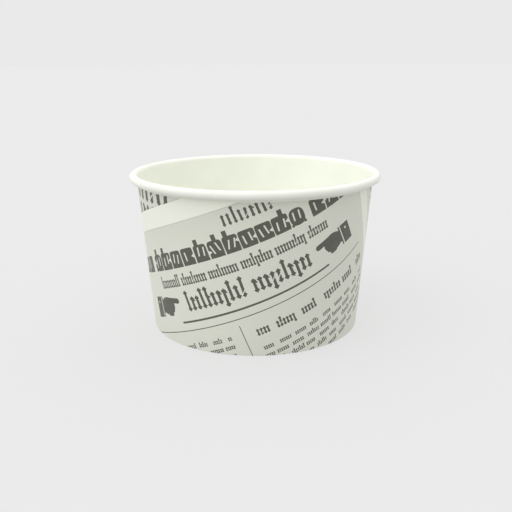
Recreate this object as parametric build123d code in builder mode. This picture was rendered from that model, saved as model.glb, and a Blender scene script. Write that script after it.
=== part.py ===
from build123d import *
import math
import os

# Paper soup bowl: a printed board sidewall with a lap seam, rolled rim and folded heel, and a base disc.
# Millimetres, +Z up, origin at the middle of the heel that the bowl stands on.
# -Y is the front. The seam is at the left, just behind -X.

# Driving dimensions
rim_diameter = 115.0  # over the rolled rim
bowl_height = 72.0  # heel to the top of the rim
base_diameter = 97.0  # outside the wall, where its line meets the table
board = 0.42  # sidewall board, one layer

# Rolled rim
roll_diameter = 3.8  # over the roll, from the bowl's inside to its outside
roll_turn = 268.0  # degrees that the board turns at the full radius
tuck_core = 0.12  # radius left open inside the tucked edge, where the board is doubled
tuck_turn = 140.0  # degrees more that the cut edge turns inside the roll

# Lap seam
seam_direction = 172.0  # degrees around the bowl, from +X
lap_width = 8.0  # overlap of the two ends of the blank, at the rim
joggle_length = 1.8  # run in which the outer end climbs over the edge of the inner end

# Base disc and heel
disc_board = 0.40  # board of the disc
disc_height = 7.0  # table to the top of the disc
disc_corner = 0.5  # inside radius where the disc turns down into its skirt
skirt_depth = 5.6  # depth of the skirt, from the top of the disc
seal_gap = 0.08  # clearance between the skirt and the board on each side of it
hem_height = 5.4  # table to the cut edge of the folded hem
heel_corner = 0.10  # inside radius of the two corners of the heel

# Wall line, which touches the inside of the roll and meets the table at the base diameter
roll_radius = roll_diameter / 2
roll_centre_radius = rim_diameter / 2 - roll_radius
roll_centre_height = bowl_height - roll_radius
roll_offset = roll_centre_radius - base_diameter / 2
roll_distance = math.hypot(roll_offset, roll_centre_height)
wall_angle = math.acos((roll_radius - board) / roll_distance) - math.atan2(roll_centre_height, roll_offset)
wall_direction = (math.sin(wall_angle), math.cos(wall_angle))
tuck_radius = 2 * board + tuck_core
channel = disc_board + 2 * seal_gap
lap_angle = math.degrees(lap_width / (rim_diameter / 2))
joggle_angle = math.degrees(joggle_length / (rim_diameter / 2))
inner_edge = seam_direction - lap_angle / 2


def around(angle):
    """Upright plane through the axis, at an angle around the bowl."""
    outwards = Vector(1, 0, 0).rotate(Axis.Z, angle)
    return Plane(origin=(0, 0, 0), x_dir=outwards, z_dir=outwards.rotate(Axis.Z, -90))


def wall_radius(height, depth):
    """Radius of the wall at a height, at a depth into the board from the bowl's inner surface."""
    return base_diameter / 2 + height * math.tan(wall_angle) - (board - depth) / math.cos(wall_angle)


def hem_radius(height, depth):
    """Radius of the hem, which lies inside the wall by the width of the skirt's channel."""
    return wall_radius(height, 0) - (channel + depth) / math.cos(wall_angle)


def board_line(depth):
    """Line that the board follows at a depth, from the hem round the heel and up the wall to the roll."""
    floor = board - depth
    roll_start = (
        roll_centre_radius - (roll_radius - depth) * wall_direction[1],
        roll_centre_height + (roll_radius - depth) * wall_direction[0],
    )
    wall = FilletPolyline(
        (hem_radius(hem_height, depth), hem_height),
        (hem_radius(floor, depth), floor),
        (wall_radius(floor, depth), floor),
        roll_start,
        radius=heel_corner + depth,
    )
    roll = JernArc(roll_start, wall_direction, radius=roll_radius - depth, arc_size=-roll_turn)
    tuck = JernArc(roll @ 1, roll % 1, radius=tuck_radius - depth, arc_size=-tuck_turn)
    return wall @ 0, tuck @ 1


def board_section(angle, layer):
    """Section of the board at an angle around the bowl: layer 0 lies on the inside, layer 1 over it."""
    with BuildSketch(around(angle)) as section:
        with BuildLine():
            inside_start, inside_end = board_line(layer * board)
            outside_start, outside_end = board_line((layer + 1) * board)
            Line(inside_start, outside_start)
            Line(inside_end, outside_end)
        make_face()
    return section.sketch


# Sidewall: one blank wrapped into a cone, its ends lapped and bonded, its edges rolled and folded.
# The inner end starts at the inner edge of the lap, and the outer end climbs over it and ends with the lap.
with BuildPart() as sidewall:
    revolve(board_section(inner_edge, 0), axis=Axis.Z, revolution_arc=360 - joggle_angle)
    loft([board_section(inner_edge - joggle_angle, 0), board_section(inner_edge, 1)], ruled=True)
    revolve(board_section(inner_edge, 1), axis=Axis.Z, revolution_arc=lap_angle)
    # The heel is pressed flat, so its doubled board at the seam is no lower than the rest
    split(bisect_by=Plane.XY, keep=Keep.TOP)
sidewall.part.label = "sidewall"

# Base disc: a drawn disc whose skirt stands in the heel, between the wall and the hem
with BuildPart() as base_disc:
    with BuildSketch(Plane.XZ):
        with BuildLine():
            skirt_end = disc_height - skirt_depth
            underside = disc_height - disc_board
            skirt_wall = disc_board / math.cos(wall_angle)
            reach = seal_gap / math.cos(wall_angle)
            top = FilletPolyline(
                (0, disc_height),
                (wall_radius(disc_height, 0) - reach, disc_height),
                (wall_radius(skirt_end, 0) - reach, skirt_end),
                radius=disc_corner + disc_board,
            )
            under = FilletPolyline(
                (0, underside),
                (wall_radius(underside, 0) - reach - skirt_wall, underside),
                (wall_radius(skirt_end, 0) - reach - skirt_wall, skirt_end),
                radius=disc_corner,
            )
            Line(top @ 0, under @ 0)
            Line(top @ 1, under @ 1)
        make_face()
    revolve(axis=Axis.Z)
base_disc.part.label = "base_disc"

os.makedirs("parts", exist_ok=True)
export_step(sidewall.part, "parts/sidewall.step")
export_step(base_disc.part, "parts/base_disc.step")
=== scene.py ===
"""A paper soup bowl with a rolled rim, a lapped seam, a folded heel and a newsprint pattern.

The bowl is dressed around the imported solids, in metres: the sidewall is one board blank that a node tree
wraps round, laps and rolls, and the print is worked out on the flat blank before it is wrapped.
"""

import math
from collections import namedtuple

import bmesh
import bpy
import numpy as np
from mathutils import Matrix, Vector


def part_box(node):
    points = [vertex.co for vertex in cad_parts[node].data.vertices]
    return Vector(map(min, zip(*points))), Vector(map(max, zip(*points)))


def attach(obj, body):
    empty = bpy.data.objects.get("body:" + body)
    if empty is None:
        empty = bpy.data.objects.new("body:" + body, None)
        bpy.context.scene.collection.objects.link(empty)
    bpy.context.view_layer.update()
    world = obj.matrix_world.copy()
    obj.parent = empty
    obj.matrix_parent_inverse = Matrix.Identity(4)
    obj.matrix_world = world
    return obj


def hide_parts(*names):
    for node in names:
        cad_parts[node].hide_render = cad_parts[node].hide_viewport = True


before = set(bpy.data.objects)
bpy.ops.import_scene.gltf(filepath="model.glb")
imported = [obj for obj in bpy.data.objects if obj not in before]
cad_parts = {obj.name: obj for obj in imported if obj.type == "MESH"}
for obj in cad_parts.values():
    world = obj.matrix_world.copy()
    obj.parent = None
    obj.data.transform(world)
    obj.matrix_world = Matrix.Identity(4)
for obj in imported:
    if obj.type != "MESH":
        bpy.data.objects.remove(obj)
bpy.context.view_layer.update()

bl_info = {
    "name": "Paper Soup Bowl",
    "version": (1, 0, 0),
    "blender": (4, 5, 0),
    "location": "3D View > Sidebar > Bowl",
    "description": "Makes a printed paper soup bowl, its finishes and a studio round it",
    "category": "Object",
}

WALL_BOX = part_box("sidewall")
DISC_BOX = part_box("base_disc")
MM = 0.001


def length_property(name, description, default):
    return bpy.props.FloatProperty(
        name=name, description=description, default=default, precision=6, unit="LENGTH"
    )


def angle_property(name, description, degrees):
    return bpy.props.FloatProperty(
        name=name, description=description, default=math.radians(degrees), subtype="ANGLE"
    )


def count_property(name, description, default):
    return bpy.props.IntProperty(name=name, description=description, default=default)


def colour_property(name, description, default):
    return bpy.props.FloatVectorProperty(
        name=name, description=description, default=default, subtype="COLOR", min=0.0, max=1.0, size=3
    )


# Sizes and colours that a user would change
class BowlSizes(bpy.types.PropertyGroup):
    rim_radius: length_property("Rim radius", "Outside of the rolled rim", WALL_BOX[1][0])
    height: length_property("Height", "Heel to the top of the rim", WALL_BOX[1][2])
    base_radius: length_property("Base radius", "Where the wall's line meets the table", 0.0485)
    board: length_property("Board", "One layer of the sidewall's board", 0.00042)
    roll_radius: length_property("Roll radius", "Half the thickness of the rolled rim", 0.0019)
    roll_turn: angle_property("Roll turn", "Turn at the full radius", 268)
    tuck_radius: length_property("Tuck radius", "Outside of the tucked edge in the roll", 0.00096)
    tuck_turn: angle_property("Tuck turn", "More turn of the tucked edge", 140)
    seam: angle_property("Seam", "Middle of the lap, from +X", 172)
    lap: length_property("Lap", "Overlap of the blank's ends", 0.008)
    joggle: length_property("Joggle", "Run in which the outer end climbs over the inner", 0.0018)
    glue: length_property("Glue", "Space between the lapped ends", 0.00001)
    channel: length_property("Channel", "Room for the skirt in the heel", 0.00056)
    hem_height: length_property("Hem height", "Table to the cut edge of the hem", 0.0054)
    heel_corner: length_property("Heel corner", "Inside radius of the heel's corners", 0.0001)
    knurls: count_property("Knurls", "Pressed grooves round the hem", 135)
    knurl_depth: length_property("Knurl depth", "Depth of the pressed grooves", 0.00012)
    around: count_property("Around", "Points round the blank", 553)
    disc_height: length_property("Disc height", "Table to the top of the disc", DISC_BOX[1][2])
    disc_skirt: length_property("Skirt end", "Table to the edge of the skirt", DISC_BOX[0][2])
    disc_board: length_property("Disc board", "Board of the disc", 0.0004)
    disc_corner: length_property("Disc corner", "Inside radius of the disc's corner", 0.0005)
    seal: length_property("Seal", "Space on each side of the skirt", 0.00008)


class BowlColours(bpy.types.PropertyGroup):
    newsprint: colour_property("Newsprint", "Ground of the clippings", (0.748, 0.766, 0.664))
    margin: colour_property("Margin", "White board between the clippings", (0.925, 0.945, 0.832))
    ink: colour_property("Ink", "Dark ink of the clippings", (0.085, 0.088, 0.066))
    coating: colour_property("Coating", "White coated inside and rim", (0.924, 0.941, 0.855))
    edge: colour_property("Edge", "Cut edge of the board", (0.80, 0.77, 0.68))
    floor: colour_property("Floor", "Floor under the bowl, apart from its glow", (0.20, 0.20, 0.20))


# Node trees written as expressions
class Wire:
    """A socket in a node tree. Sums on it add Math nodes, and link adds any other node."""

    def __init__(self, tree, socket):
        self.tree, self.socket = tree, socket

    def link(self, kind, settings, inputs, output=0):
        return add_node(self.tree, kind, settings, inputs, output)

    def math(self, operation, *others):
        return self.link("ShaderNodeMath", {"operation": operation}, dict(enumerate((self,) + others)))

    def __add__(self, other):
        return self.math("ADD", other)

    def __sub__(self, other):
        return self.math("SUBTRACT", other)

    def __rsub__(self, other):
        return self.link("ShaderNodeMath", {"operation": "SUBTRACT"}, {0: other, 1: self})

    def __mul__(self, other):
        return self.math("MULTIPLY", other)

    def __truediv__(self, other):
        return self.math("DIVIDE", other)

    def __neg__(self):
        return self.math("MULTIPLY", -1.0)

    def __abs__(self):
        return self.math("ABSOLUTE")

    def __lt__(self, other):
        return self.math("LESS_THAN", other)

    def __gt__(self, other):
        return self.math("GREATER_THAN", other)

    def __or__(self, other):
        return self.math("MAXIMUM", other)

    def __and__(self, other):
        return self.math("MINIMUM", other)

    __radd__, __rmul__, __ror__, __rand__ = __add__, __mul__, __or__, __and__

    def floor(self):
        return self.math("FLOOR")

    def fract(self):
        return self.math("FRACT")

    def ramp(self, low, high, out_low=0.0, out_high=1.0):
        """A smooth step from out_low, at low, to out_high, at high."""
        return self.link(
            "ShaderNodeMapRange",
            {"interpolation_type": "SMOOTHSTEP"},
            {"Value": self, "From Min": low, "From Max": high, "To Min": out_low, "To Max": out_high},
        )

    def within(self, low, high):
        """1 between two bounds, and 0 outside them."""
        return (self > low) & (self < high)


def add_node(tree, kind, settings, inputs, output=0):
    """Adds a node with its settings and its sockets' values or links, and returns its output as a Wire."""
    node = tree.nodes.new(kind)
    for name, value in settings.items():
        setattr(node, name, value)
    for name, value in inputs.items():
        socket = socket_of(node.inputs, name)
        if isinstance(value, Wire):
            tree.links.new(value.socket, socket)
        elif value is not None:
            socket.default_value = value
    return Wire(tree, socket_of(node.outputs, output))


def socket_of(sockets, name):
    """A socket by its place, its identifier or its name."""
    if isinstance(name, int):
        return sockets[name]
    for socket in sockets:
        if socket.identifier == name and socket.enabled:
            return socket
    return next(socket for socket in sockets if socket.name == name and socket.enabled)


def mix_colours(factor, first, second):
    """Two colours mixed by a factor, which is a Wire."""
    return add_node(
        factor.tree,
        "ShaderNodeMix",
        {"data_type": "RGBA"},
        {"Factor_Float": factor, "A_Color": first, "B_Color": second},
        "Result_Color",
    )


def split_vector(vector):
    """The three numbers of a vector."""
    node = vector.tree.nodes.new("ShaderNodeSeparateXYZ")
    vector.tree.links.new(vector.socket, node.inputs[0])
    return [Wire(vector.tree, socket) for socket in node.outputs]


def noise(place, scale, detail, roughness=0.5):
    """Soft noise at a place, about 0.5 on average."""
    inputs = {"Vector": place, "Scale": scale, "Detail": detail, "Roughness": roughness}
    return add_node(place.tree, "ShaderNodeTexNoise", {"noise_dimensions": "3D"}, inputs, "Fac")


WHITE = (1.0, 1.0, 1.0, 1.0)


def rgba(colour):
    return (*colour, 1.0)


def deeper(colour, share):
    """The same colour with a share of its light."""
    return rgba(share * channel for channel in colour)


# Steps of the section's stretches
HEM_STEPS, HEEL_STEPS, WALL_STEPS, ROLL_STEPS, TUCK_STEPS = 6, 4, 6, 30, 10
DISC_STEPS, DISC_CORNER_STEPS, DISC_BACK_STEPS, SKIRT_STEPS, DISC_TURN_STEPS = 24, 12, 10, 6, 240


# The board's section, walked along its inner surface from the hem's cut edge to the tucked edge of the roll
class Track:
    """A line walked in the bowl's section. It notes each point, the way into the board, and the length."""

    def __init__(self, radius, height, heading):
        self.radius, self.height, self.heading, self.length = radius, height, heading, 0.0
        self.points = []
        self.note()

    def note(self):
        depth_way = (math.sin(self.heading), -math.cos(self.heading))
        self.points.append((self.radius, self.height, *depth_way, self.length))

    def straight(self, length, steps):
        for _ in range(steps):
            self.radius += length / steps * math.cos(self.heading)
            self.height += length / steps * math.sin(self.heading)
            self.length += length / steps
            self.note()

    def bend(self, radius, turn, steps):
        """Turns to the left where turn is positive, round a centre that lies on that side."""
        side = math.copysign(1.0, turn)
        centre = (
            self.radius - side * radius * math.sin(self.heading),
            self.height + side * radius * math.cos(self.heading),
        )
        for _ in range(steps):
            self.heading += turn / steps
            self.radius = centre[0] + side * radius * math.sin(self.heading)
            self.height = centre[1] - side * radius * math.cos(self.heading)
            self.length += abs(radius * turn) / steps
            self.note()


def wall_angle(sizes):
    """Lean of the wall, which touches the inside of the roll and meets the table at the base radius."""
    rise = sizes.height - sizes.roll_radius
    run = sizes.rim_radius - sizes.roll_radius - sizes.base_radius
    return math.acos((sizes.roll_radius - sizes.board) / math.hypot(run, rise)) - math.atan2(rise, run)


def wall_radius(sizes, height, depth):
    """Radius of the wall at a height, at a depth into the board from the bowl's inner surface."""
    lean = wall_angle(sizes)
    return sizes.base_radius + height * math.tan(lean) - (sizes.board - depth) / math.cos(lean)


def board_track(sizes):
    """The sidewall's section, and the length along it where the wall's line would meet the table."""
    lean = wall_angle(sizes)
    floor = sizes.board
    corner = sizes.heel_corner
    hem_cut = corner * math.tan((math.pi / 2 + lean) / 2)
    wall_cut = corner * math.tan((math.pi / 2 - lean) / 2)
    hem_top = wall_radius(sizes, sizes.hem_height, 0) - sizes.channel / math.cos(lean)
    track = Track(hem_top, sizes.hem_height, -math.pi / 2 - lean)
    track.straight((sizes.hem_height - floor) / math.cos(lean) - hem_cut, HEM_STEPS)
    track.bend(corner, math.pi / 2 + lean, HEEL_STEPS)
    track.straight(sizes.channel / math.cos(lean) - hem_cut - wall_cut, 1)
    track.bend(corner, math.pi / 2 - lean, HEEL_STEPS)
    roll_height = sizes.height - sizes.roll_radius + sizes.roll_radius * math.sin(lean)
    datum = track.length - track.height / math.cos(lean)
    track.straight((roll_height - track.height) / math.cos(lean), WALL_STEPS)
    track.bend(sizes.roll_radius, -sizes.roll_turn, ROLL_STEPS)
    track.bend(sizes.tuck_radius, -sizes.tuck_turn, TUCK_STEPS)
    return track, datum


# How far from the seam the heel is pressed, in widths of the lap
PRESSED_REACH = 1.5
# Where the hem is knurled: how squarely it faces inwards, and its share of the hem's height
KNURL_FACING, KNURL_TOP = 0.9, 0.92
# A face whose middle is this near to the board's inner or outer side is a part of that side
SIDE_REACH = 0.25


# Node tree that wraps, laps, rolls and knurls the blank
def tree_input(tree, name, kind, value):
    socket = tree.interface.new_socket(name, in_out="INPUT", socket_type=kind)
    if value is not None:
        socket.default_value = value
    return socket.identifier


def sample_row(tree, track, row, field, kind):
    """What the section's point of that number holds."""
    return add_node(
        tree,
        "GeometryNodeSampleIndex",
        {"data_type": kind, "domain": "POINT"},
        {0: track, "Value": field, "Index": row},
    )


def named_field(tree, name, kind):
    return add_node(tree, "GeometryNodeInputNamedAttribute", {"data_type": kind}, {"Name": name})


def store_field(tree, geometry, name, value):
    return add_node(
        tree,
        "GeometryNodeStoreNamedAttribute",
        {"data_type": "FLOAT", "domain": "POINT"},
        {0: geometry, "Name": name, "Value": value},
    )


def blank_tree(sizes, materials):
    """Node tree that turns the board's section into the wrapped blank. Gives its inputs too."""
    tree = bpy.data.node_groups.new("wrap the blank", "GeometryNodeTree")
    tree.interface.new_socket("Geometry", in_out="OUTPUT", socket_type="NodeSocketGeometry")
    tree_input(tree, "Section", "NodeSocketGeometry", None)
    numbers = {
        "Around": ("NodeSocketInt", sizes.around),
        "Seam edge": ("NodeSocketFloat", sizes.seam - sizes.lap / sizes.rim_radius / 2),
        "Lap": ("NodeSocketFloat", sizes.lap / sizes.rim_radius),
        "Joggle": ("NodeSocketFloat", sizes.joggle / sizes.rim_radius),
        "Board": ("NodeSocketFloat", sizes.board),
        "Glue": ("NodeSocketFloat", sizes.glue),
        "Knurls": ("NodeSocketInt", sizes.knurls),
        "Knurl depth": ("NodeSocketFloat", sizes.knurl_depth),
    }
    identifiers = {}
    for name, (kind, value) in numbers.items():
        identifiers[name] = (tree_input(tree, name, kind, value), value)
    entry = tree.nodes.new("NodeGroupInput")
    given = {socket.name: Wire(tree, socket) for socket in entry.outputs if socket.name}
    track = given["Section"]
    rows = add_node(tree, "GeometryNodeAttributeDomainSize", {"component": "MESH"}, {0: track}, "Point Count")
    box = add_node(
        tree,
        "GeometryNodeMeshCube",
        {},
        {"Size": (1.0, 1.0, 1.0), "Vertices X": given["Around"], "Vertices Y": rows, "Vertices Z": 2},
        "Mesh",
    )
    place = add_node(tree, "GeometryNodeInputPosition", {}, {})
    across, up, through = (number + 0.5 for number in split_vector(place))
    row_number = (up * (rows - 1.0)).math("ROUND")
    length = sample_row(tree, track, row_number, named_field(tree, "length", "FLOAT"), "FLOAT")
    for name, value in (("across", across), ("length", length), ("side", through)):
        box = store_field(tree, box, name, value)

    # Read back, because the fields above change as soon as the points move
    across = named_field(tree, "across", "FLOAT")
    through = named_field(tree, "side", "FLOAT")
    turn = across * (2 * math.pi + given["Lap"])
    climb = turn.ramp(2 * math.pi - given["Joggle"], 2 * math.pi)
    doubled = climb | turn.ramp(given["Lap"], given["Lap"] * PRESSED_REACH, 1.0, 0.0)
    pressed = sample_row(tree, track, row_number, named_field(tree, "pressed", "FLOAT"), "FLOAT")
    hem = sample_row(tree, track, row_number, named_field(tree, "hem", "FLOAT"), "FLOAT")
    groove = ((turn * given["Knurls"]).math("COSINE") * 0.5 + 0.5) * given["Knurl depth"] * hem
    step = given["Board"] + given["Glue"]
    depth = climb * step + through * (given["Board"] - groove)
    squeeze = given["Board"] / (given["Board"] + doubled * pressed * step)
    depth = depth * squeeze
    section_point = sample_row(tree, track, row_number, place, "FLOAT_VECTOR")
    depth_way = named_field(tree, "depth_way", "FLOAT_VECTOR")
    depth_way = sample_row(tree, track, row_number, depth_way, "FLOAT_VECTOR")
    depths = add_node(tree, "ShaderNodeCombineXYZ", {}, {0: depth, 1: depth, 2: depth})
    moved = add_node(
        tree,
        "ShaderNodeVectorMath",
        {"operation": "MULTIPLY_ADD"},
        {0: depth_way, 1: depths, 2: section_point},
    )
    wrapped = add_node(
        tree,
        "ShaderNodeVectorRotate",
        {"rotation_type": "Z_AXIS"},
        {"Vector": moved, "Angle": turn + given["Seam edge"]},
    )
    sheet = add_node(tree, "GeometryNodeSetPosition", {}, {"Geometry": box, "Position": wrapped})
    sheet = add_node(tree, "GeometryNodeSetShadeSmooth", {}, {0: sheet, "Shade Smooth": True})
    sheet = add_node(tree, "GeometryNodeRealizeInstances", {}, {0: sheet})
    inside, outside = through < SIDE_REACH, through > 1 - SIDE_REACH
    choices = ((None, materials["edge"]), (inside, materials["coating"]), (outside, materials["print"]))
    for selection, material in choices:
        inputs = {"Geometry": sheet, "Selection": selection, "Material": material}
        sheet = add_node(tree, "GeometryNodeSetMaterial", {}, inputs)
    out = tree.nodes.new("NodeGroupOutput")
    tree.links.new(sheet.socket, out.inputs[0])
    return tree, identifiers


def section_mesh(track, sizes):
    """The section as a line of points, with the depth's way, the length and what is pressed or knurled."""
    mesh = bpy.data.meshes.new("board section")
    points = np.array(track.points)
    count = len(points)
    steps = [(i, i + 1) for i in range(count - 1)]
    mesh.from_pydata([(r, 0.0, z) for r, z, *_ in track.points], steps, [])
    way = mesh.attributes.new("depth_way", "FLOAT_VECTOR", "POINT")
    way.data.foreach_set("vector", np.column_stack((points[:, 2], np.zeros(count), points[:, 3])).ravel())
    height, depth_way_out = points[:, 1], points[:, 2]
    heel = height < sizes.board + 0.5 * sizes.heel_corner
    knurled = (height > 2 * sizes.board) & (height < KNURL_TOP * sizes.hem_height)
    knurled = knurled & (depth_way_out < -KNURL_FACING)
    for name, values in (("length", points[:, 4]), ("pressed", heel), ("hem", knurled)):
        mesh.attributes.new(name, "FLOAT", "POINT").data.foreach_set("value", values.astype(np.float32))
    return mesh


def wrapped_sidewall(sizes, track, materials):
    """Runs the tree on the section and keeps its result as a plain mesh."""
    holder = bpy.data.objects.new("board section", section_mesh(track, sizes))
    bpy.context.scene.collection.objects.link(holder)
    tree, identifiers = blank_tree(sizes, materials)
    modifier = holder.modifiers.new("wrap", "NODES")
    modifier.node_group = tree
    for identifier, value in identifiers.values():
        modifier[identifier] = value
    graph = bpy.context.evaluated_depsgraph_get()
    mesh = bpy.data.meshes.new_from_object(holder.evaluated_get(graph))
    holder.modifiers.remove(modifier)
    bpy.data.objects.remove(holder)
    return mesh


def face_outwards(mesh):
    """Recalculates the normals of a closed mesh."""
    build = bmesh.new()
    build.from_mesh(mesh)
    bmesh.ops.recalc_face_normals(build, faces=build.faces)
    build.to_mesh(mesh)
    build.free()


def point_values(mesh, name):
    values = np.empty(len(mesh.vertices), np.float32)
    mesh.attributes[name].data.foreach_get("value", values)
    return values


def corner_vertices(mesh):
    corners = np.empty(len(mesh.loops), np.int32)
    mesh.loops.foreach_get("vertex_index", corners)
    return corners


def face_of_corners(mesh):
    totals = np.empty(len(mesh.polygons), np.int32)
    mesh.polygons.foreach_get("loop_total", totals)
    return np.repeat(np.arange(len(totals)), totals)


def set_map(mesh, name, u, v):
    layer = mesh.uv_layers.new(name=name)
    layer.uv.foreach_set("vector", np.column_stack((u, v)).astype(np.float32).ravel())


BLANK_MAP = "blank"
BAKE_MAP = "OFBake"


def map_blank(mesh, sizes, datum):
    """The flat blank, in millimetres: x round the bowl from its front, y up from the base."""
    corners = corner_vertices(mesh)
    lean = wall_angle(sizes)
    seam_edge = sizes.seam - sizes.lap / sizes.rim_radius / 2
    turn = point_values(mesh, "across")[corners] * (2 * math.pi + sizes.lap / sizes.rim_radius) + seam_edge
    swing = (turn - 1.5 * math.pi) * math.sin(lean)
    base_slant = sizes.base_radius / math.sin(lean)
    slant = base_slant + point_values(mesh, "length")[corners] - datum
    set_map(mesh, BLANK_MAP, slant * np.sin(swing) / MM, (slant * np.cos(swing) - base_slant) / MM)


# Map for baking: gap between its bands, strips that the printed wall is cut into and the places of the bands
BAKE_GAP = 0.004
PRINT_STRIPS = 4
PRINT_BAND, INSIDE_BAND, ROLL_BAND = (0.0, 0.76), (0.76, 0.85), (0.85, 0.91)
TUCK_BAND, HEM_BAND = (0.91, 0.94), (0.94, 0.97)
EDGE_BANDS, EDGE_WIDTH = (0.971, 0.979), 0.005
END_BANDS, END_WIDTH = (0.987, 0.994), 0.004
PRINT_BELOW = 1.0 * MM
# A face this near to an end of the blank, as a share of its length, is that end
END_REACH = 1e-4


def map_bake(mesh, track, datum, roll_length):
    """The printed wall in four strips over most of the map, two to a row, and the plain bands above them."""
    corners = corner_vertices(mesh)
    faces = face_of_corners(mesh)
    count = np.bincount(faces)
    fields = [point_values(mesh, name)[corners].astype(float) for name in ("across", "length", "side")]
    across, length, side = fields
    face_across, face_length, face_side = ((np.bincount(faces, values) / count)[faces] for values in fields)
    total = track.length
    bottom = datum - PRINT_BELOW
    outside, inside = face_side > 1 - SIDE_REACH, face_side < SIDE_REACH
    in_roll = face_length >= roll_length
    u = np.zeros(len(corners))
    v = np.zeros(len(corners))

    def lay(chosen, low, high, strips, band):
        """Lays the board between two lengths into a band, cut into strips."""
        strip = np.minimum((face_across[chosen] * strips).astype(int), strips - 1)
        columns = min(2, strips)
        rows = math.ceil(strips / columns)
        width, tall = 1.0 / columns, (band[1] - band[0]) / rows
        along = across[chosen] * strips - strip
        up = (length[chosen] - low) / (high - low)
        u[chosen] = (strip % columns + BAKE_GAP + along * (1 - 2 * BAKE_GAP)) * width
        v[chosen] = band[0] + tall * (strip // columns) + BAKE_GAP / 2 + up * (tall - BAKE_GAP)

    lay(outside & (face_length > bottom) & ~in_roll, bottom, roll_length, PRINT_STRIPS, PRINT_BAND)
    lay(inside & ~in_roll, 0.0, roll_length, 1, INSIDE_BAND)
    lay(inside & in_roll, roll_length, total, 1, ROLL_BAND)
    lay(outside & in_roll, roll_length, total, 1, TUCK_BAND)
    lay(outside & (face_length <= bottom), 0.0, bottom, 1, HEM_BAND)
    rest = ~(outside | inside)
    ends = rest & ((face_across < END_REACH) | (face_across > 1 - END_REACH))
    hem_edge, rim_edge = (rest & ~ends & half for half in (face_length <= total / 2, face_length > total / 2))
    for chosen, low in zip((hem_edge, rim_edge), EDGE_BANDS):
        u[chosen] = BAKE_GAP + across[chosen] * (1 - 2 * BAKE_GAP)
        v[chosen] = low + side[chosen] * EDGE_WIDTH
    for chosen, low in zip((ends & (face_across < 0.5), ends & (face_across > 0.5)), END_BANDS):
        u[chosen] = BAKE_GAP + length[chosen] / total * (1 - 2 * BAKE_GAP)
        v[chosen] = low + side[chosen] * END_WIDTH
    set_map(mesh, BAKE_MAP, u, v)


# Print on the flat blank, in millimetres: clippings on a slanting grid, with white board between them
PAGE_TILT = math.radians(22.1)
PAGE_STEP = (146.0, 104.0)
PAGE_SHIFT = 22.0
PAGE_LEFT, PAGE_RIGHT = -66.0, 72.5
PAGE_LOW, PAGE_TOP = -30.4, 65.0
PRINT_FOOT, PRINT_HEAD = -1.6, 67.4

# Lines of strokes: foot, stroke height, stroke pitch, words' length, start, end and weight
MarkLine = namedtuple("MarkLine", "foot height pitch word start end weight")
NARROW_LINE = MarkLine(38.2, 3.9, 1.25, 15.0, -35.5, 50.0, 0.27)
LARGE_LINE = MarkLine(27.0, 6.0, 2.7, 32.0, -23.0, 36.5, 0.23)
TITLE_LINE = MarkLine(8.4, 3.0, 1.5, 12.0, 3.0, 67.0, 0.26)
RIGHT_ROW = MarkLine(1.2, 1.6, 0.92, 7.4, 3.0, 67.0, 0.26)
LEFT_ROW = MarkLine(2.25, 1.6, 0.92, 7.4, -62.0, -6.5, 0.26)
ROW_STEP = 3.95
# Where each kind of line lies up the clipping
ROWS_LOW, RIGHT_ROWS_TOP, LEFT_ROWS_TOP = -15.2, 3.9, 13.2
TITLE_LOW, TITLE_TOP = 6.5, 14.0
LARGE_LOW, NARROW_LOW, NARROW_TOP = 24.0, 36.4, 45.2
# Words: where the first starts, how far each line is shifted, and the least and most that their strokes
# fill of the words' length
WORD_START, WORD_SHIFT = -22.5, 3.1
WORD_SHARE, WORD_SPREAD, LARGE_WORD_SHARE = 0.62, 0.26, 0.9
# Steps between the seeds of clippings, in the lines, the headline and the page's columns and rows
LINE_SEED, HEAD_SEED, LIGHT_SEED, COLUMN_SEED, ROW_SEED = 17.0, 5.0, 3.0, 3.0, 7.0

# Odd strokes: how high and deep they reach in stroke heights, and the share of strokes that are so
TALL_REACH, TALL_SHARE = 1.5, 0.16
DEEP_REACH, DEEP_SHARE = -0.32, 0.08
# How far a stroke leans over its height, in strokes, where its seeded number is largest or smallest
STROKE_LEAN = 0.125
# Pointed caps: how far in they start in stroke weights, and how far in the bar stops as a share of that
TIP_SHARE, TIP_STOP = 0.65, 1 / 1.6
# Cuts and ticks: share of strokes that have one, height, slant, half width and where across a tick starts
CUT_SHARE, CUT_LOW, CUT_RANGE, CUT_SLANT, CUT_WIDTH = 0.2, 0.3, 0.4, 0.5, 0.05
TICK_SHARE, TICK_HEIGHT, TICK_SLANT, TICK_WIDTH, TICK_START = 0.3, 0.82, 0.25, 0.07, -0.3

# Headline of heavy blocks: size, place, blocks in its words and gap between the words
HEAD_PITCH, HEAD_HEIGHT, HEAD_SLAB = 7.16, 7.4, 1.15
HEAD_START, HEAD_FOOT = -36.6, 46.3
HEAD_BELOW, HEAD_ABOVE = 0.7, 9.9
HEAD_BLOCKS, HEAD_OUTER_BLOCKS, HEAD_GAP = 11, 3, 2.5
# Blocks, in millimetres: half width, roundness, slab at the foot and spur over the top. What is named a
# range is how far a seeded number moves or changes a part.
BLOCK_REACH, REACH_RANGE, BLOCK_ROUND, ROUND_RANGE = 3.2, 0.35, 2.6, 6.0
SLAB_START, SLAB_OVERHANG = 1.3, 0.1
SPUR_WIDTH, SPUR_RANGE, SPUR_REACH, SPUR_SHARE = 1.0, 3.4, 2.4, 0.34
# Slits and nick that cut a block
SLIT_REACH, SLIT_WIDTH, SLIT_TURN, SLIT_RANGE = 1.9, 0.34, 0.7, 1.6
LEFT_SLIT, LEFT_RANGE, RIGHT_SLIT, RIGHT_RANGE, RIGHT_SHARE = 1.05, 0.5, 1.15, 0.4, 0.7
NICK_START, NICK_SLOPE, NICK_RANGE, NICK_SHARE = 1.9, 1.6, 2.0, 0.65
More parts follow.
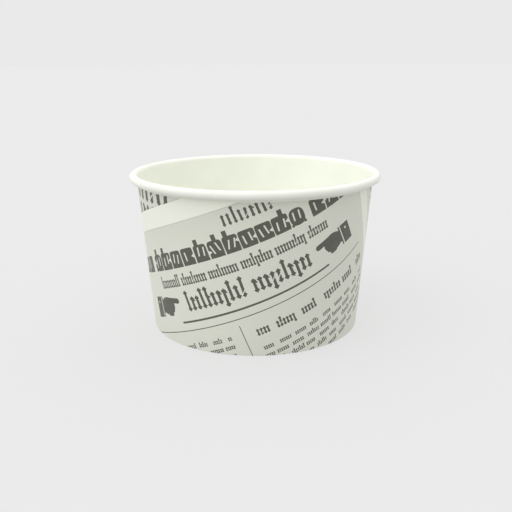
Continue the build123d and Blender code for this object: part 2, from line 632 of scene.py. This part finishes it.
# Added to the line of a block to draw its other three numbers
SECOND_DRAW = 40.0

# Line over the headline
LIGHT_LINE = MarkLine(57.5, 4.8, 2.5, None, 9.2, 31.7, 0.21)
LIGHT_LOW, LIGHT_TOP, LIGHT_CAP = 57.0, 64.6, 1.6

# Rules: middle, half width and ends
THICK_RULE = (22.35, 0.45, -27.5, 44.8)
THIN_RULE = (18.4, 0.2, -66.0, 66.5)
COLUMN_RULE, COLUMN_RULE_TOP = (-1.1, 0.17), 15.5

# Large strokes across the foot, turned against the other lines
FOOT_START = (-31.6, -26.4)
FOOT_TURN = math.radians(18.0)
FOOT_STEP, FOOT_CLEAR = 10.6, 2.6
FOOT_LINE = MarkLine(0.0, 9.2, 5.2, None, -62.4, 20.8, 0.22)
FOOT_SHARE, FOOT_CAP = 0.9, 1.35

# Pointing hand: its mirror's place, its heights, and its parts by their places and sizes
HAND_MIRROR, HAND_LOW, HAND_TOP = 7.75, 24.5, 36.0
HAND_BARS = (
    (34.6, 32.3, 41.5, 33.2, 1.2),
    (38.7, 30.6, 41.0, 30.4, 1.35),
    (39.4, 28.6, 42.0, 28.6, 1.2),
    (40.6, 26.9, 42.6, 27.0, 1.0),
)
HAND_BACK = (42.6, 30.6, 5.2, 4.0)
WRIST = (46.6, 30.6, 2.2, 3.0)
CUFF = (50.0, 30.4, 3.2, 4.7)
CUFF_SLANT, CUFF_FOLD, FOLD_WIDTH = 0.12, 47.9, 0.28
BUTTON = (50.6, 32.6, 0.55, 0.55)


def three_random(tree, x, y):
    """Three fixed random numbers for a whole-numbered place."""
    place = add_node(tree, "ShaderNodeCombineXYZ", {}, {0: x, 1: y, 2: 0.0})
    colour = add_node(tree, "ShaderNodeTexWhiteNoise", {"noise_dimensions": "3D"}, {"Vector": place}, "Color")
    return split_vector(colour)


def choose(condition, yes, no):
    """One of two numbers, where the condition is 1 or 0."""
    return condition * (yes - no) + no


def picket_marks(tree, u, v, ratio, line, weight, cap=2.0):
    """Upright strokes with pointed caps, of uneven height. u counts strokes and v counts stroke heights."""
    cell = u.floor()
    a = u.fract() - 0.5
    tall, odd, slip = three_random(tree, cell, line)
    top = choose(tall > 1 - TALL_SHARE, TALL_REACH, 1.0)
    foot = choose(tall < DEEP_SHARE, DEEP_REACH, 0.0)
    a_leant = abs(a - (v - 0.5) * (odd - 0.5) * (2 * STROKE_LEAN))
    tip = weight * TIP_SHARE
    bar = (a_leant < weight) & v.within(foot + tip * TIP_STOP, top - tip * TIP_STOP)
    high = (a_leant + abs(v - (top - tip)) * ratio) < weight * cap
    low = (a_leant + abs(v - (foot + tip)) * ratio) < weight * cap
    cut = (odd > 1 - CUT_SHARE) & (abs(v - CUT_LOW - slip * CUT_RANGE - a * CUT_SLANT) < CUT_WIDTH)
    tick = (slip > 1 - TICK_SHARE) & (abs(v - TICK_HEIGHT + a * TICK_SLANT) < TICK_WIDTH) & (a > TICK_START)
    return ((bar | high | low) - cut) | tick


def block_marks(tree, u, up, line):
    """Heavy rounded blocks, each cut by slanting slits and nicks in seeded places. u counts blocks."""
    cell = u.floor()
    first, second, third = three_random(tree, cell, line)
    fourth, fifth, sixth = three_random(tree, cell, line + SECOND_DRAW)
    a = (u.fract() - 0.5) * HEAD_PITCH
    middle = up - HEAD_HEIGHT / 2
    across = abs(a) / (BLOCK_REACH + first * REACH_RANGE)
    along = abs(middle) / (HEAD_HEIGHT / 2)
    roundness = BLOCK_ROUND + second * ROUND_RANGE
    body = across.math("POWER", roundness) + along.math("POWER", roundness) < 1.0
    slab = (abs(a) < BLOCK_REACH + SLAB_OVERHANG) & (abs(a) > SLAB_START + third) & up.within(0.0, HEAD_SLAB)
    spur = (abs(a - (fourth - 0.5) * SPUR_RANGE) < SPUR_WIDTH) & (fifth > 1 - SPUR_SHARE)
    spur = spur & up.within(HEAD_HEIGHT / 2, HEAD_HEIGHT + SPUR_REACH)
    slant = middle * (sixth - 0.5) * SLIT_TURN
    left_slit = abs(a + LEFT_SLIT + fourth * LEFT_RANGE - slant) < SLIT_WIDTH
    left_slit = left_slit & (abs(middle + (first - 0.5) * SLIT_RANGE) < SLIT_REACH)
    right_slit = abs(a - RIGHT_SLIT - fifth * RIGHT_RANGE - slant) < SLIT_WIDTH
    right_slit = right_slit & (abs(middle - (third - 0.5) * SLIT_RANGE) < SLIT_REACH)
    right_slit = right_slit & (third > 1 - RIGHT_SHARE)
    nick_height = (sixth - 0.5) * NICK_RANGE
    nick = choose(second > 0.5, a, -a) - NICK_START > abs(middle - nick_height) * NICK_SLOPE
    nick = nick & (first > 1 - NICK_SHARE)
    return (body | slab | spur) & (1.0 - (left_slit | right_slit | nick))


def hand_marks(m, n):
    """A pointing hand, whose finger points towards lower m. n is up the clipping."""

    def bar(x0, y0, x1, y1, thick):
        """A straight stroke with round ends."""
        run, rise = x1 - x0, y1 - y0
        share = (((m - x0) * run + (n - y0) * rise) / (run * run + rise * rise) | 0.0) & 1.0
        dx, dy = m - x0 - share * run, n - y0 - share * rise
        return dx * dx + dy * dy < thick * thick

    def blob(x, y, width, height):
        dx, dy = (m - x) / width, (n - y) / height
        return dx * dx + dy * dy < 1.0

    def box(x, y, width, height, lean=0.0):
        return (abs(m - x + lean) < width) & (abs(n - y) < height)

    slant = (n - CUFF[1]) * CUFF_SLANT
    hand = blob(*HAND_BACK) | box(*WRIST) | box(*CUFF, slant)
    for finger in HAND_BARS:
        hand = hand | bar(*finger)
    fold = abs(m - CUFF_FOLD + slant) < FOLD_WIDTH
    return hand - (fold | blob(*BUTTON)) * box(*CUFF, slant)


def line_marks(tree, p, q, seed, clear_of_foot):
    """Lines of strokes: large and narrow ones over the rules, a title and two columns of rows under them."""
    right = p > 0.0
    in_title, in_large, in_narrow = right & (q > TITLE_LOW), q > LARGE_LOW, q > NARROW_LOW

    def of_line(name):
        """What the line of marks at this place has under that name."""
        row = choose(right, getattr(RIGHT_ROW, name), getattr(LEFT_ROW, name))
        for there, kind in ((in_title, TITLE_LINE), (in_large, LARGE_LINE), (in_narrow, NARROW_LINE)):
            row = choose(there, getattr(kind, name), row)
        return row

    row_foot = choose(right, RIGHT_ROW.foot, LEFT_ROW.foot)
    row_foot = row_foot - ((row_foot - q) / ROW_STEP + 1.0).floor() * ROW_STEP
    foot = choose(in_title, TITLE_LINE.foot, row_foot)
    foot = choose(in_narrow, NARROW_LINE.foot, choose(in_large, LARGE_LINE.foot, foot))
    height, pitch = of_line("height"), of_line("pitch")
    line = foot.math("ROUND") + seed * LINE_SEED
    stroke = (p / pitch).floor() * pitch
    shift = line * WORD_SHIFT * (1.0 - in_large * (1.0 - in_narrow))
    word_place = (stroke - WORD_START + shift) / of_line("word")
    word_end = three_random(tree, word_place.floor(), line)[0] * WORD_SPREAD + WORD_SHARE
    word_end = choose(in_large, LARGE_WORD_SHARE, word_end)
    in_word = (word_place.fract() < word_end) & stroke.within(of_line("start"), of_line("end"))
    in_rows = q.within(ROWS_LOW, choose(right, RIGHT_ROWS_TOP, LEFT_ROWS_TOP))
    in_line = (in_rows | (in_title & (q < TITLE_TOP)) | in_large) & (q < NARROW_TOP)
    marks = picket_marks(tree, p / pitch, (q - foot) / height, height / pitch, line, of_line("weight"))
    return marks & in_word & in_line & clear_of_foot(stroke + pitch / 2.0, foot + height / 2.0)


def page_marks(tree, p, q, seed):
    """Ink of one clipping, 1 on ink and 0 off it. p runs along its lines of marks and q up across them."""
    # The headline's block that a point is on, with its outer words moved apart by the gap
    head_end = HEAD_START + HEAD_BLOCKS * HEAD_PITCH
    word_before, word_after = p < HEAD_START - HEAD_GAP / 2, p > head_end + HEAD_GAP / 2
    block = (p - HEAD_START + (word_before - word_after) * HEAD_GAP) / HEAD_PITCH
    first_block = word_after * HEAD_BLOCKS - word_before * HEAD_OUTER_BLOCKS
    last_block = word_after * HEAD_OUTER_BLOCKS - word_before * HEAD_BLOCKS + HEAD_BLOCKS
    head = block_marks(tree, block, q - HEAD_FOOT, seed * HEAD_SEED) & block.within(first_block, last_block)
    head = head & q.within(HEAD_FOOT - HEAD_BELOW, HEAD_FOOT + HEAD_ABOVE)

    light_u = (p - LIGHT_LINE.start) / LIGHT_LINE.pitch
    light_v = (q - LIGHT_LINE.foot) / LIGHT_LINE.height
    light_ratio = LIGHT_LINE.height / LIGHT_LINE.pitch
    light = picket_marks(tree, light_u, light_v, light_ratio, seed + LIGHT_SEED, LIGHT_LINE.weight, LIGHT_CAP)
    light = light & p.within(LIGHT_LINE.start, LIGHT_LINE.end) & q.within(LIGHT_LOW, LIGHT_TOP)

    rules = (abs(p - COLUMN_RULE[0]) < COLUMN_RULE[1]) & (q < COLUMN_RULE_TOP)
    for middle, width, start, end in (THICK_RULE, THIN_RULE):
        rules = rules | ((abs(q - middle) < width) & p.within(start, end))
    hands = hand_marks(abs(p - HAND_MIRROR), q) & q.within(HAND_LOW, HAND_TOP)

    def above_foot(p, q):
        """How far a place is above the lowest of the turned lines."""
        return (p - FOOT_START[0]) * math.sin(FOOT_TURN) + (q - FOOT_START[1]) * math.cos(FOOT_TURN)

    along = (p - FOOT_START[0]) * math.cos(FOOT_TURN) - (q - FOOT_START[1]) * math.sin(FOOT_TURN)
    above = above_foot(p, q)
    foot_line = (above / FOOT_STEP).floor()
    foot_up = above / FOOT_STEP - foot_line
    foot_v = foot_up * FOOT_STEP / FOOT_LINE.height
    foot_ratio = FOOT_LINE.height / FOOT_LINE.pitch
    foot_u = along / FOOT_LINE.pitch
    feet = picket_marks(tree, foot_u, foot_v, foot_ratio, seed + foot_line, FOOT_LINE.weight, FOOT_CAP)
    feet = feet & (foot_up < FOOT_SHARE) & (above < FOOT_STEP) & along.within(FOOT_LINE.start, FOOT_LINE.end)
    lines = line_marks(tree, p, q, seed, lambda p, q: above_foot(p, q) > FOOT_STEP + FOOT_CLEAR)
    return lines | head | light | rules | hands | feet


# Shading of the paper, in millimetres: width and strength of the clippings' darker edge and head
LINE_WIDTH, LINE_DEPTH = 0.9, 0.16
SHADE_WIDTH, SHADE_DEPTH = 12.0, 0.05
# Mottle: scale, detail and roughness of its noise, its strength, and the least ink that it leaves
MOTTLE, MOTTLE_DEPTH, INK_FLOOR = (0.35, 4.0, 0.6), 0.10, 0.92


def print_colours(tree, colours, sizes):
    """Colour of the printed side, its ink and its mottle."""
    flat = add_node(tree, "ShaderNodeUVMap", {"uv_map": BLANK_MAP}, {})
    x, y, _ = split_vector(flat)
    p = x * math.cos(PAGE_TILT) + y * math.sin(PAGE_TILT)
    q = y * math.cos(PAGE_TILT) - x * math.sin(PAGE_TILT)
    column = ((p - PAGE_LEFT) / PAGE_STEP[0]).floor()
    q = q - column * PAGE_SHIFT
    row = ((q - PAGE_LOW) / PAGE_STEP[1]).floor()
    page_p = p - column * PAGE_STEP[0]
    page_q = q - row * PAGE_STEP[1]
    edge = (page_p - PAGE_LEFT) & (PAGE_RIGHT - page_p) & (page_q - PAGE_LOW) & (PAGE_TOP - page_q)
    base_slant = sizes.base_radius / math.sin(wall_angle(sizes)) / MM
    up = y + base_slant
    slant = (x * x + up * up).math("SQRT") - base_slant
    clipping = (edge > 0.0) & slant.within(PRINT_FOOT, PRINT_HEAD)
    ink = page_marks(tree, page_p, page_q, column * COLUMN_SEED + row * ROW_SEED) & clipping
    line = edge.ramp(0.0, LINE_WIDTH, 1.0, 0.0) & clipping
    shade = (PAGE_TOP - page_q).ramp(0.0, SHADE_WIDTH, 1.0, 0.0) & clipping
    mottle = noise(flat, *MOTTLE)
    paper = mix_colours(clipping, rgba(colours.margin), rgba(colours.newsprint))
    paper = mix_colours(line * LINE_DEPTH + shade * SHADE_DEPTH, paper, rgba(colours.ink))
    paper = mix_colours(mottle * MOTTLE_DEPTH, paper, WHITE)
    colour = mix_colours(ink * (mottle * (1 - INK_FLOOR) + INK_FLOOR), paper, rgba(colours.ink))
    return colour, ink, mottle


# Materials. Places are in metres, so scales are waves to the metre and bumps' distances are metres.
PRINT_SHINE, COATING_SHINE = 0.35, 0.28
# Bump of the fibres: scale, strength and distance, and the detail and roughness of its noise
PRINT_FIBRE = (700.0, 0.8, 0.00012)
COATING_FIBRE = (450.0, 0.8, 0.00012)
EDGE_FIBRE = (3000.0, 0.5, 0.00003)
FIBRE_NOISE = (5.0, 0.65)
# Roughness: least, and how much the ink or the noise changes it
PRINT_ROUGHNESS, INK_SMOOTHER, MOTTLE_ROUGHER = 0.44, 0.06, 0.08
COATING_ROUGHNESS, CLOUD_ROUGHER = 0.34, 0.16
EDGE_ROUGHNESS, FIBRE_ROUGHER = 0.75, 0.2
# Clouds in the coating and fibres in the cut edge: scale, detail, blend and the share of light in the darker
CLOUD, CLOUD_BLEND, CLOUD_SHADE = (60.0, 4.0), (0.3, 0.7), 0.97
EDGE_NOISE, EDGE_BLEND, EDGE_SHADE = (2500.0, 5.0), (0.35, 0.65), 0.8


def new_material(name):
    material = bpy.data.materials.new(name)
    material.use_nodes = True
    tree = material.node_tree
    shader = next(node for node in tree.nodes if node.type == "BSDF_PRINCIPLED")
    return material, tree, shader


def object_place(tree):
    return add_node(tree, "ShaderNodeTexCoord", {}, {}, "Object")


def fibre_normal(place, scale, strength, distance):
    """Fine fibres of the board, as a normal."""
    inputs = {"Strength": strength, "Distance": distance, "Height": noise(place, scale, *FIBRE_NOISE)}
    return add_node(place.tree, "ShaderNodeBump", {}, inputs, "Normal")


def to_shader(tree, shader, **wires):
    """Links what varies over the surface to the shader's sockets of those names, in capitals."""
    for name, wire in wires.items():
        tree.links.new(wire.socket, shader.inputs[name.replace("_", " ").title()])


def print_material(colours, sizes):
    material, tree, shader = new_material("printed board")
    shader.inputs["Specular IOR Level"].default_value = PRINT_SHINE
    colour, ink, mottle = print_colours(tree, colours, sizes)
    roughness = PRINT_ROUGHNESS - ink * INK_SMOOTHER + mottle * MOTTLE_ROUGHER
    normal = fibre_normal(object_place(tree), *PRINT_FIBRE)
    to_shader(tree, shader, base_color=colour, roughness=roughness, normal=normal)
    return material


def coating_material(colours):
    """The white coating, made once for both pieces."""
    made = bpy.data.materials.get("coated board")
    if made:
        return made
    material, tree, shader = new_material("coated board")
    shader.inputs["Specular IOR Level"].default_value = COATING_SHINE
    place = object_place(tree)
    cloud = noise(place, *CLOUD)
    darker = deeper(colours.coating, CLOUD_SHADE)
    colour = mix_colours(cloud.ramp(*CLOUD_BLEND), darker, rgba(colours.coating))
    roughness = COATING_ROUGHNESS + cloud * CLOUD_ROUGHER
    normal = fibre_normal(place, *COATING_FIBRE)
    to_shader(tree, shader, base_color=colour, roughness=roughness, normal=normal)
    return material


def edge_material(colours):
    material, tree, shader = new_material("cut board edge")
    place = object_place(tree)
    fibre = noise(place, *EDGE_NOISE)
    darker = deeper(colours.edge, EDGE_SHADE)
    colour = mix_colours(fibre.ramp(*EDGE_BLEND), darker, rgba(colours.edge))
    roughness = EDGE_ROUGHNESS + fibre * FIBRE_ROUGHER
    normal = fibre_normal(place, *EDGE_FIBRE)
    to_shader(tree, shader, base_color=colour, roughness=roughness, normal=normal)
    return material


# Base disc, turned from its section
def disc_outline(sizes):
    """The disc's section from the middle of its top, round the skirt, to the middle of its underside."""
    lean = wall_angle(sizes)
    top, under = sizes.disc_height, sizes.disc_height - sizes.disc_board
    reach = wall_radius(sizes, top, 0) - sizes.seal / math.cos(lean)
    # The skirt leans inwards as it goes down, like the wall, so it turns past upright
    turn = math.pi / 2 + lean
    outer, inner = sizes.disc_corner + sizes.disc_board, sizes.disc_corner
    track = Track(0.0, top, 0.0)
    track.straight(reach - outer * math.tan(turn / 2), DISC_STEPS)
    track.bend(outer, -turn, DISC_CORNER_STEPS)
    track.straight((track.height - sizes.disc_skirt) / math.cos(lean), SKIRT_STEPS)
    skirt = [(r, z) for r, z, *_ in track.points]
    back = Track(0.0, under, 0.0)
    inner_reach = skirt[-1][0] - sizes.disc_board / math.cos(lean)
    inner_reach += (under - sizes.disc_skirt) * math.tan(lean)
    back.straight(inner_reach - inner * math.tan(turn / 2), DISC_STEPS)
    back.bend(inner, -turn, DISC_BACK_STEPS)
    back.straight((back.height - sizes.disc_skirt) / math.cos(lean), SKIRT_STEPS)
    return skirt + [(r, z) for r, z, *_ in reversed(back.points)]


def turned_mesh(name, outline, steps):
    """A closed mesh turned round Z from an outline whose two ends are on the axis."""
    mesh = bpy.data.meshes.new(name)
    build = bmesh.new()
    first, *ring_points, last = outline
    rings = []
    for radius, height in ring_points:
        turns = (2 * math.pi * step / steps for step in range(steps))
        rings.append([build.verts.new((radius * math.cos(t), radius * math.sin(t), height)) for t in turns])
    start, end = build.verts.new((0, 0, first[1])), build.verts.new((0, 0, last[1]))
    for step in range(steps):
        after = (step + 1) % steps
        build.faces.new((start, rings[0][step], rings[0][after]))
        build.faces.new((end, rings[-1][after], rings[-1][step]))
        for inner, outer in zip(rings, rings[1:]):
            build.faces.new((inner[step], outer[step], outer[after], inner[after]))
    bmesh.ops.recalc_face_normals(build, faces=build.faces)
    for face in build.faces:
        face.smooth = True
    build.to_mesh(mesh)
    build.free()
    return mesh


SHARP_ANGLE = math.radians(50)


def add_piece(name, mesh, node):
    """Links a finished mesh as a piece that stands for a node of the frame."""
    piece = bpy.data.objects.new(name, mesh)
    bpy.context.scene.collection.objects.link(piece)
    mesh.set_sharp_from_angle(angle=SHARP_ANGLE)
    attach(piece, "root")
    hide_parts(node)
    return piece


class BOWL_OT_sidewall(bpy.types.Operator):
    """Wraps the printed blank into the sidewall, with its seam, roll and heel"""

    bl_idname = "bowl.sidewall"
    bl_label = "Sidewall"

    def execute(self, context):
        sizes, colours = context.scene.bowl_sizes, context.scene.bowl_colours
        track, datum = board_track(sizes)
        materials = {
            "print": print_material(colours, sizes),
            "coating": coating_material(colours),
            "edge": edge_material(colours),
        }
        mesh = wrapped_sidewall(sizes, track, materials)
        if not mesh.polygons:
            raise RuntimeError("the blank made no faces")
        face_outwards(mesh)
        roll_length = datum + (sizes.height - sizes.roll_radius) / math.cos(wall_angle(sizes))
        map_blank(mesh, sizes, datum)
        map_bake(mesh, track, datum, roll_length)
        add_piece("printed_sidewall", mesh, "sidewall")
        return {"FINISHED"}


class BOWL_OT_base_disc(bpy.types.Operator):
    """Makes the plain disc whose skirt stands in the heel"""

    bl_idname = "bowl.base_disc"
    bl_label = "Base disc"

    def execute(self, context):
        sizes, colours = context.scene.bowl_sizes, context.scene.bowl_colours
        mesh = turned_mesh("plain_base_disc", disc_outline(sizes), DISC_TURN_STEPS)
        mesh.materials.append(coating_material(colours))
        add_piece("plain_base_disc", mesh, "base_disc")
        return {"FINISHED"}


# Studio: the camera's place and lens
CAMERA_RISE = math.radians(14.71)
CAMERA_DISTANCE = 0.3278
CAMERA_AIM = (0.00032, 0.0, 0.03043)
CAMERA_ROLL = math.radians(-0.242)
CAMERA_LENS, CAMERA_SENSOR, CAMERA_NEAR = 48.28, 36.0, 0.01

# Light from the backdrop, the front, below the floor and overhead, and how far each blends into the next
BACKDROP_TONE, FRONT_TONE, BELOW_TONE, TOP_TONE = 0.823, 0.59, 0.595, 0.56
BACK_BLEND, FLOOR_BLEND, TOP_BLEND = (-0.4, 0.6), (-0.06, -0.01), (0.15, 0.9)
FLOOR_RADIUS, FLOOR_SIDES, FLOOR_DROP = 60.0, 96, 0.00002
FLOOR_GLOW, FLOOR_ROUGHNESS = 0.583, 0.9
# Soft lamp: its way around from +X, its height over the floor, its spread and its strength
LAMP_TURN, LAMP_RISE, LAMP_SPREAD = (math.radians(degrees) for degrees in (216.0, 42.0, 60.0))
LAMP_STRENGTH = 0.8


def add_soft_lamp():
    """A wide soft light from the upper left, so far away that it is even over the stage."""
    lamp = bpy.data.lights.new("upper left", "SUN")
    lamp.angle, lamp.energy = LAMP_SPREAD, LAMP_STRENGTH
    light = bpy.data.objects.new("upper left", lamp)
    level = math.cos(LAMP_RISE)
    towards = Vector((math.cos(LAMP_TURN) * level, math.sin(LAMP_TURN) * level, math.sin(LAMP_RISE)))
    light.rotation_euler = towards.to_track_quat("Z", "Y").to_euler()
    bpy.context.scene.collection.objects.link(light)


def studio_world():
    """Even backdrop, with more light from overhead and less from the front and from below the floor."""
    world = bpy.data.worlds.new("studio")
    world.use_nodes = True
    tree = world.node_tree
    _, back, height = split_vector(add_node(tree, "ShaderNodeTexCoord", {}, {}, "Generated"))
    level = back.ramp(*BACK_BLEND, FRONT_TONE, BACKDROP_TONE)
    light = height.ramp(*FLOOR_BLEND, BELOW_TONE, level) + height.ramp(*TOP_BLEND, 0.0, TOP_TONE)
    seen = add_node(tree, "ShaderNodeLightPath", {}, {}, "Is Camera Ray")
    background = tree.nodes["Background"]
    background.inputs["Color"].default_value = WHITE
    tree.links.new(choose(seen, BACKDROP_TONE, light).socket, background.inputs["Strength"])
    return world


def floor_material(colours):
    """Pale lit floor, whose even glow keeps the bowl's shadow faint."""
    material, _, shader = new_material("pale floor")
    shader.inputs["Roughness"].default_value = FLOOR_ROUGHNESS
    shader.inputs["Specular IOR Level"].default_value = 0.0
    shader.inputs["Base Color"].default_value = rgba(colours.floor)
    shader.inputs["Emission Color"].default_value = WHITE
    shader.inputs["Emission Strength"].default_value = FLOOR_GLOW
    return material


class BOWL_OT_stage(bpy.types.Operator):
    """Adds the floor, the soft light and the camera"""

    bl_idname = "bowl.stage"
    bl_label = "Stage"

    def execute(self, context):
        scene, colours = context.scene, context.scene.bowl_colours
        scene.view_settings.view_transform = "Standard"
        mesh = bpy.data.meshes.new("floor")
        build = bmesh.new()
        bmesh.ops.create_circle(build, cap_ends=True, segments=FLOOR_SIDES, radius=FLOOR_RADIUS)
        build.to_mesh(mesh)
        build.free()
        mesh.materials.append(floor_material(colours))
        floor = bpy.data.objects.new("floor", mesh)
        floor.location.z = -FLOOR_DROP
        scene.collection.objects.link(floor)
        # The rim's underside would be too bright if the glowing floor lit it
        floor.visible_diffuse = False

        scene.world = studio_world()
        add_soft_lamp()

        camera = bpy.data.objects.new("camera", bpy.data.cameras.new("camera"))
        camera.data.lens, camera.data.sensor_width = CAMERA_LENS, CAMERA_SENSOR
        camera.data.clip_start = CAMERA_NEAR
        middle = Vector((0.0, 0.0, scene.bowl_sizes.height / 2))
        offset = Vector((0.0, -math.cos(CAMERA_RISE), math.sin(CAMERA_RISE))) * CAMERA_DISTANCE
        camera.location = middle + offset
        aim = (Vector(CAMERA_AIM) - camera.location).to_track_quat("-Z", "Y").to_matrix().to_4x4()
        camera.rotation_euler = (aim @ Matrix.Rotation(CAMERA_ROLL, 4, "Z")).to_euler()
        scene.collection.objects.link(camera)
        scene.camera = camera
        return {"FINISHED"}


class BOWL_PT_panel(bpy.types.Panel):
    bl_idname = "BOWL_PT_panel"
    bl_label = "Paper soup bowl"
    bl_space_type = "VIEW_3D"
    bl_region_type = "UI"
    bl_category = "Bowl"

    def draw(self, context):
        for operator in (BOWL_OT_sidewall, BOWL_OT_base_disc, BOWL_OT_stage):
            self.layout.operator(operator.bl_idname)
        for group in (context.scene.bowl_sizes, context.scene.bowl_colours):
            for name in group.__annotations__:
                self.layout.prop(group, name)


CLASSES = (BowlSizes, BowlColours, BOWL_OT_sidewall, BOWL_OT_base_disc, BOWL_OT_stage, BOWL_PT_panel)


def register():
    for item in CLASSES:
        bpy.utils.register_class(item)
    bpy.types.Scene.bowl_sizes = bpy.props.PointerProperty(type=BowlSizes)
    bpy.types.Scene.bowl_colours = bpy.props.PointerProperty(type=BowlColours)


def unregister():
    del bpy.types.Scene.bowl_colours
    del bpy.types.Scene.bowl_sizes
    for item in reversed(CLASSES):
        bpy.utils.unregister_class(item)


def main():
    register()
    bpy.ops.bowl.stage()
    bpy.ops.bowl.sidewall()
    bpy.ops.bowl.base_disc()


if __name__ == "__main__":
    main()
